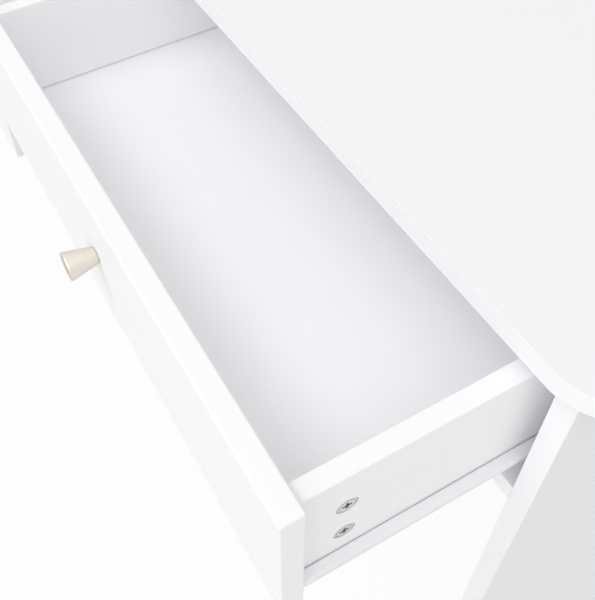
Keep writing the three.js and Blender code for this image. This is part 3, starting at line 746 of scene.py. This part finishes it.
class DESK_OT_drawer_boxes(bpy.types.Operator):
    """Make the foiled sides and back and the thin floor of each drawer, bored and grooved"""

    bl_idname = "desk.drawer_boxes"
    bl_label = "Drawer boxes"

    def execute(self, context):
        sizes = context.scene.desk_sizes
        cam_radius = sizes.drawer_cam + sizes.cam_play
        screw_radius, screw_depth, floor_edge = 0.0038, 0.0022, 0.0003
        for drawer in DRAWERS:
            for side in HANDS:
                tools = [groove(drawer, sizes)]
                for _, point, facing in drawer_cam_places(drawer, side):
                    tools.append(bore(point, facing, cam_radius, sizes.drawer_cam_depth))
                for point, facing in back_screw_places(drawer, side):
                    tools.append(bore(point, facing, screw_radius, screw_depth, 32))
                node = f"{drawer}_{side}_side"
                mesh = cut(block(*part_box(node), sizes.foil_edge), tools)
                place_piece(node, "board", mesh, "foil", "lacquer")
            mesh = cut(block(*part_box(f"{drawer}_back"), sizes.foil_edge), [groove(drawer, sizes)])
            place_piece(f"{drawer}_back", "board", mesh, "foil", "lacquer")
            mesh = block(*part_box(f"{drawer}_floor"), floor_edge, 2)
            place_piece(f"{drawer}_floor", "board", mesh, "foil")
        return {"FINISHED"}


class DESK_OT_drawer_cams(bpy.types.Operator):
    """Stand the cam locks and back screws in the drawer sides"""

    bl_idname = "desk.drawer_cams"
    bl_label = "Drawer cam locks"

    def execute(self, context):
        sizes = context.scene.desk_sizes
        lengths = cam_lengths(sizes.drawer_cam, sizes.drawer_cam_depth)
        for drawer in DRAWERS:
            cams = [cam for side in HANDS for cam in drawer_cam_places(drawer, side)]
            screws = [screw for side in HANDS for screw in back_screw_places(drawer, side)]
            stand_on(f"{drawer}_cam_locks", cam_tree(), cams, lengths, [cam[0] for cam in cams], drawer)
            stand_on(f"{drawer}_back_screws", screw_tree(), screws, COUNTERSUNK, (), drawer)
        return {"FINISHED"}


class DESK_OT_knobs(bpy.types.Operator):
    """Turn the champagne knobs and the screws that hold them"""

    bl_idname = "desk.knobs"
    bl_label = "Knobs"

    def execute(self, context):
        sizes = context.scene.desk_sizes
        base, tip, soft, rim = sizes.knob_base, sizes.knob_tip, sizes.knob_foot, sizes.knob_rim
        turns = angles(15, 90, 5)
        drawn_in = rim * 0.55
        face = tip - drawn_in
        rim_flat, rim_width, step, dish = 0.0004, 0.0006, 0.00012, 0.00014
        for drawer in DRAWERS:
            front_low, front_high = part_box(f"{drawer}_front")
            centre = middle_of(f"{drawer}_knob", y=front_low.y)
            reach = centre.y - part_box(f"{drawer}_knob")[0].y
            cone = reach - rim
            slope = (tip - base) / cone
            rows = [(SEAM, 0), (SEAM, base - soft)]
            rows += [(SEAM + soft * (1 - math.cos(t)), base - soft * (1 - math.sin(t))) for t in turns]
            rows += [(d, base + slope * d) for d in spread(soft * 1.6, cone, 12)]
            rows += [(cone + rim * math.sin(t), tip - drawn_in * (1 - math.cos(t))) for t in turns]
            rows += [(reach, face - rim_flat), (reach - step, face - rim_width), (reach - dish, 0)]
            place_piece(f"{drawer}_knob", "turned", turned(rows, centre, -Y, 96), "champagne")
            head = Vector((centre.x, front_high.y + SEAM, centre.z))
            nodes = (f"{drawer}_knob_screw",)
            stand_on(f"{drawer}_knob_screw_head", screw_tree(), [(head, Y)], KNOB_SCREW, nodes, drawer)
        return {"FINISHED"}


# ---- Slides ----

STRIP_EDGE = 0.00015
# From a rail's front end and a runner's back end to their rollers.
FRONT_ROLLER_INSET, REAR_ROLLER_INSET = 0.011, 0.0095
ROLLER_BORE, ROLLER_RECESS, ROLLER_RECESS_DEPTH = 0.0028, 0.0041, 0.0013
BOSS_RADIUS, BOSS_CHAMFER = 0.004, 0.0002
# A roller's play along its axle, and the rise and inset of the axle's head.
AXLE_GAP, RIVET = 0.0003, ((0.0, 0.0002), (0.0003, 0.0), (0.0007, 0.0008), (0.0009, 0.0018))


def slide_plan(sizes, drawer, side):
    """Measures of a slide, from its drawer side on: across from the drawer's middle, and heights."""
    hand, sheet = HANDS[side], sizes.sheet
    low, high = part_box(f"{drawer}_front")
    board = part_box(f"{drawer}_{side}_side")
    plan = SimpleNamespace(hand=hand, middle=(low.x + high.x) / 2)
    plan.side = hand * (board[hand > 0].x - plan.middle)
    plan.web_near = plan.side + sizes.runner_gap
    plan.web_far = plan.web_near + sheet
    plan.flange = plan.web_far + sizes.flange_gap
    plan.lip_far = plan.side + sizes.track_width
    plan.lip_near = plan.lip_far - sheet
    plan.foot_top = board[0].z - SEAM
    plan.foot = plan.foot_top - sheet
    plan.track_top = plan.foot + sizes.runner_height
    plan.track = plan.track_top - sheet
    plan.lip = plan.track_top - sizes.track_lip
    plan.rail_top = plan.lip - sizes.lip_gap
    plan.channel_top = plan.rail_top - sheet
    plan.rear_roller = plan.channel_top - sizes.roller_gap - sizes.rear_roller
    plan.channel_floor = plan.rear_roller - sizes.rear_roller - sizes.roller_gap
    plan.rail_bottom = plan.channel_floor - sheet
    plan.front_roller = plan.track - sizes.roller_gap - sizes.front_roller
    return plan


def folded(plan, outline, start, end):
    """Sheet metal of an outline of (across, height) points, from start to end along Y."""
    return skinned([[(plan.middle + plan.hand * x, y, z) for x, z in outline] for y in (start, end)])


def beside(plan, across, along, heights, radius=0.0):
    """A block at a slide, between two measures across, along Y and in height."""
    xs = sorted(plan.middle + plan.hand * x for x in across)
    return block(*zip(xs, along, heights), radius)


def axle(sizes, face, axis, stand_off, width):
    """The riveted axle of a roller: a boss, the bar and its upset head."""
    foot, boss = -sizes.sheet / 2, stand_off - AXLE_GAP
    head = stand_off + width - ROLLER_RECESS_DEPTH + AXLE_GAP
    rows = [(foot, 0), (foot, BOSS_RADIUS), (boss - BOSS_CHAMFER, BOSS_RADIUS)]
    rows += [(boss, BOSS_RADIUS - BOSS_CHAMFER), (boss, sizes.axle), (head, sizes.axle)]
    rows += [(head + rise, sizes.axle_head - inset) for rise, inset in RIVET]
    rows.append((rows[-1][0], 0))
    return turned(rows, face, axis, 32)


def wheel(radius, width, start, axis):
    """A nylon roller with rounded treads, a bore and a recess round its axle's head."""
    soft, recess = 0.0009, width - ROLLER_RECESS_DEPTH
    near = [(soft * (1 - math.cos(t)), radius - soft * (1 - math.sin(t))) for t in angles(0, 90, 4)]
    rows = [(0, ROLLER_BORE), *near, *((width - distance, r) for distance, r in reversed(near))]
    rows += [(width, ROLLER_RECESS), (recess, ROLLER_RECESS), (recess, ROLLER_BORE), (0, ROLLER_BORE)]
    return turned(rows, start, axis, 56)


def slide_screws(sizes, start, end):
    return [start + sizes.screw_inset, (start + end) / 2, end - sizes.screw_end_inset]


class DESK_OT_rails(bpy.types.Operator):
    """Fold the rails on the walls of both bays, with their rollers and screws"""

    bl_idname = "desk.rails"
    bl_label = "Rails"

    def execute(self, context):
        sizes = context.scene.desk_sizes
        overlap = 0.002
        places = []
        for bay in HANDS:
            for side, hand in HANDS.items():
                node = f"{bay}_bay_{side}_rail"
                low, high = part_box(node)
                plan = slide_plan(sizes, f"{bay}_drawer", side)
                wall = hand * ((low, high)[hand > 0].x - plan.middle)
                web = wall - sizes.sheet
                roller_y = low.y + FRONT_ROLLER_INSET
                mouth_end = roller_y + sizes.front_roller + sizes.roller_side_gap + overlap
                mouth = beside(
                    plan, (plan.flange - overlap, web), (low.y - overlap, mouth_end),
                    (plan.channel_top - overlap, plan.rail_top + overlap),
                )
                strip = cut(folded(plan, rail_outline(sizes, plan, wall), low.y, high.y), [mouth])
                pivot = Vector((plan.middle + hand * web, roller_y, plan.front_roller))
                width = plan.lip_near - plan.web_far - 2 * sizes.roller_side_gap
                stand_off = web - plan.lip_near + sizes.roller_side_gap
                bar = axle(sizes, pivot, -hand * X, stand_off, width)
                stop = rail_stop(sizes, plan, high.y - REAR_ROLLER_INSET, web)
                place_piece(node, "strip", merged([strip, bar, stop]), "powder_coat", edge=STRIP_EDGE)
                mesh = wheel(sizes.front_roller, width, pivot - hand * X * stand_off, -hand * X)
                place_piece(f"{bay}_bay_{side}_roller", "wheel", mesh, "nylon")
                screw_z = (plan.channel_top + plan.channel_floor) / 2
                screw_ys = slide_screws(sizes, low.y, high.y)
                places += [(Vector((pivot.x, y, screw_z)), -hand * X) for y in screw_ys]
        stand_on("rail_screws", screw_tree(), places, {**PAN_HEAD, "Shank length": 0.0072}, (), "carcass")
        return {"FINISHED"}


def rail_outline(sizes, plan, wall):
    """The rail's section: a channel that opens towards the drawer."""
    outer, inner = sizes.bend, sizes.bend - sizes.sheet
    web = wall - sizes.sheet
    return [
        (plan.flange, plan.rail_top),
        *bend(wall - outer, plan.rail_top - outer, outer, 90, 0),
        *bend(wall - outer, plan.rail_bottom + outer, outer, 0, -90),
        (plan.flange, plan.rail_bottom),
        (plan.flange, plan.channel_floor),
        *bend(web - inner, plan.channel_floor + inner, inner, -90, 0),
        *bend(web - inner, plan.channel_top - inner, inner, 0, 90),
        (plan.flange, plan.channel_top),
    ]


def rail_stop(sizes, plan, shut_y, web):
    """The pressed bump that stops the rear roller, which is at shut_y in a shut drawer."""
    travel, height, width, clear, edge = 0.310, 0.003, 0.003, 0.001, 0.0008
    reach = math.sqrt(sizes.rear_roller ** 2 - (sizes.rear_roller - height) ** 2)
    back = shut_y - travel - reach - sizes.roller_gap
    return beside(
        plan, (plan.flange + clear, web - clear), (back - width, back),
        (plan.channel_floor - sizes.sheet / 2, plan.channel_floor + height), edge,
    )


class DESK_OT_runners(bpy.types.Operator):
    """Fold the runners under the drawer sides, and stand their screws"""

    bl_idname = "desk.runners"
    bl_label = "Runners"

    def execute(self, context):
        sizes = context.scene.desk_sizes
        stand_off, width = sizes.roller_side_gap, sizes.rear_roller_width
        for drawer in DRAWERS:
            places = []
            for side, hand in HANDS.items():
                node = f"{drawer}_{side}_runner"
                start, end = [corner.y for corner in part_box(node)]
                side_low, side_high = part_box(f"{drawer}_{side}_side")
                plan = slide_plan(sizes, drawer, side)
                strip = folded(plan, runner_outline(sizes, plan), start, end)
                pivot = Vector((plan.middle + hand * plan.web_far, end - REAR_ROLLER_INSET, plan.rear_roller))
                bar = axle(sizes, pivot, hand * X, stand_off, width)
                place_piece(node, "strip", merged([strip, bar]), "powder_coat", edge=STRIP_EDGE)
                mesh = wheel(sizes.rear_roller, width, pivot + hand * X * stand_off, hand * X)
                place_piece(f"{drawer}_{side}_roller", "wheel", mesh, "nylon")
                screw_x = (side_low.x + side_high.x) / 2
                screw_ys = slide_screws(sizes, start, side_high.y)
                places += [(Vector((screw_x, y, plan.foot)), -Z) for y in screw_ys]
            stand_on(f"{drawer}_runner_screws", screw_tree(), places, PAN_HEAD, (), drawer)
        return {"FINISHED"}


def runner_outline(sizes, plan):
    """The runner's section: foot, web, and a track whose lip turns down."""
    outer, inner = sizes.bend, sizes.bend - sizes.sheet
    foot_end = plan.side - sizes.runner_foot
    return [
        (foot_end, plan.foot),
        *bend(plan.web_far - outer, plan.foot + outer, outer, -90, 0),
        *bend(plan.web_far + inner, plan.track - inner, inner, 180, 90),
        *bend(plan.lip_near - inner, plan.track - inner, inner, 90, 0),
        (plan.lip_near, plan.lip),
        (plan.lip_far, plan.lip),
        *bend(plan.lip_far - outer, plan.track_top - outer, outer, 0, 90),
        *bend(plan.web_near + outer, plan.track_top - outer, outer, 90, 180),
        *bend(plan.web_near - inner, plan.foot_top + inner, inner, 0, -90),
        (foot_end, plan.foot_top),
    ]


# ---- Studio ----

WHITE = (1, 1, 1, 1)
WHITE_BOUNCES = 24
AMBIENT = 0.68
FLOOR_SIZE = 14.0
FLOOR_GLOW = 0.93
LAMP_AIM = (0.0, -0.1, 0.65)
# Name, place, diameter in metres and power in watts.
LAMPS = (
    ("key", (-1.0, -3.5, 5.95), 3.0, 72.0),
    ("fill", (3.0, -1.7, 5.9), 5.0, 75.0),
    ("front", (2.6, -6.3, 3.3), 4.4, 72.0),
)
CAMERA_PLACE = (0.6301, -0.3875, 1.1060)
# Its heading, its tip up from straight down, and its roll, in degrees.
CAMERA_TURNS = ((63.395, "Z"), (39.855, "X"), (-3.0, "Z"))
# The focal length as a share of the sensor's width.
CAMERA_FOCUS = 1.423
CAMERA_SHIFT = (0.075, -0.07)
CAMERA_REACH = (0.02, 60.0)
SENSOR = 36.0


class DESK_OT_stage(bpy.types.Operator):
    """Set up the pale studio floor, the soft light and the camera"""

    bl_idname = "desk.stage"
    bl_label = "Studio"

    def execute(self, context):
        scene = context.scene
        scene.view_settings.view_transform = "Standard"
        scene.cycles.max_bounces = scene.cycles.diffuse_bounces = WHITE_BOUNCES
        add_floor(scene.desk_colours.floor)
        scene.world = new_surroundings()
        for name, place, size, power in LAMPS:
            add_lamp(name, Vector(place), size, power)
        scene.camera = new_camera()
        return {"FINISHED"}


def add_floor(colour):
    bm = bmesh.new()
    bmesh.ops.create_grid(bm, x_segments=1, y_segments=1, size=FLOOR_SIZE)
    floor = new_object("studio_floor", to_mesh(bm))
    material, shader, _ = new_finish(
        "studio_floor", colour, drift=0.01, scale=1.5, Roughness=0.9, Specular_IOR_Level=0.1,
    )
    glow = new_output(shader, "ShaderNodeEmission", {"Color": WHITE, "Strength": 1.0})
    share = times(seen_directly(shader), FLOOR_GLOW)
    mix = new_output(shader, "ShaderNodeMixShader", {0: share, 1: shader.outputs[0], 2: glow})
    link(mix, material.node_tree.nodes["Material Output"].inputs[0])
    floor.data.materials.append(material)


def new_surroundings():
    """A world that is white where it is seen, and lights the desk more softly."""
    world = bpy.data.worlds.new("studio")
    world.use_nodes = True
    tree = world.node_tree
    tree.nodes.clear()
    ambient, backdrop = [
        new_output(tree, "ShaderNodeBackground", {"Color": WHITE, "Strength": strength})
        for strength in (AMBIENT, 1.0)
    ]
    mix = new_output(tree, "ShaderNodeMixShader", {0: seen_directly(tree), 1: ambient, 2: backdrop})
    add_node(tree, "ShaderNodeOutputWorld", {"Surface": mix})
    return world


def seen_directly(tree):
    """1 for what the camera sees, directly or in a reflection or through glass, and 0 for lighting."""
    path = add_node(tree, "ShaderNodeLightPath").outputs
    seen = calculate("MAXIMUM", path["Is Camera Ray"], path["Is Glossy Ray"])
    return calculate("MAXIMUM", seen, path["Is Transmission Ray"])


def add_lamp(name, place, size, power):
    lamp = bpy.data.lights.new(name, "AREA")
    lamp.shape, lamp.size, lamp.energy = "DISK", size, power
    turn = (Vector(LAMP_AIM) - place).to_track_quat("-Z", "Y").to_matrix().to_4x4()
    new_object(name, lamp).matrix_world = Matrix.Translation(place) @ turn


def new_camera():
    lens = bpy.data.cameras.new("camera")
    lens.sensor_width = SENSOR
    lens.lens = CAMERA_FOCUS * SENSOR
    lens.shift_x, lens.shift_y = CAMERA_SHIFT
    lens.clip_start, lens.clip_end = CAMERA_REACH
    camera = new_object("camera", lens)
    turn, tip, roll = [Matrix.Rotation(math.radians(angle), 4, axis) for angle, axis in CAMERA_TURNS]
    camera.matrix_world = Matrix.Translation(Vector(CAMERA_PLACE)) @ turn @ tip @ roll
    return camera


# ---- Add-on ----

class DESK_PT_pieces(bpy.types.Panel):
    """Lists the desk's pieces in the sidebar"""

    bl_label = "Writing desk"
    bl_idname = "DESK_PT_pieces"
    bl_space_type = "VIEW_3D"
    bl_region_type = "UI"
    bl_category = "Desk"

    def draw(self, context):
        for operator in OPERATORS:
            self.layout.operator(operator.bl_idname)
        for group in (context.scene.desk_sizes, context.scene.desk_colours):
            for name in group.__annotations__:
                self.layout.prop(group, name)


OPERATORS = (
    DESK_OT_desktop, DESK_OT_case_boards, DESK_OT_case_cams, DESK_OT_divider_screws, DESK_OT_glides,
    DESK_OT_rails, DESK_OT_drawer_fronts, DESK_OT_drawer_boxes, DESK_OT_drawer_cams, DESK_OT_knobs,
    DESK_OT_runners, DESK_OT_stage,
)
CLASSES = (DeskSizes, DeskColours, *OPERATORS, DESK_PT_pieces)


def register():
    for one in CLASSES:
        bpy.utils.register_class(one)
    bpy.types.Scene.desk_sizes = bpy.props.PointerProperty(type=DeskSizes)
    bpy.types.Scene.desk_colours = bpy.props.PointerProperty(type=DeskColours)


def unregister():
    del bpy.types.Scene.desk_sizes
    del bpy.types.Scene.desk_colours
    for one in reversed(CLASSES):
        bpy.utils.unregister_class(one)


def finish_shown_nodes():
    """Gives the nodes that show as they are, the cam bolts, their zinc."""
    for piece in frame["nodes"].values():
        if not piece.hide_render:
            piece.material_slots[0].material = finish("zinc")


def main():
    register()
    for operator in OPERATORS:
        getattr(bpy.ops.desk, operator.bl_idname.split(".")[1])()
    finish_shown_nodes()


if __name__ == "__main__":
    main()
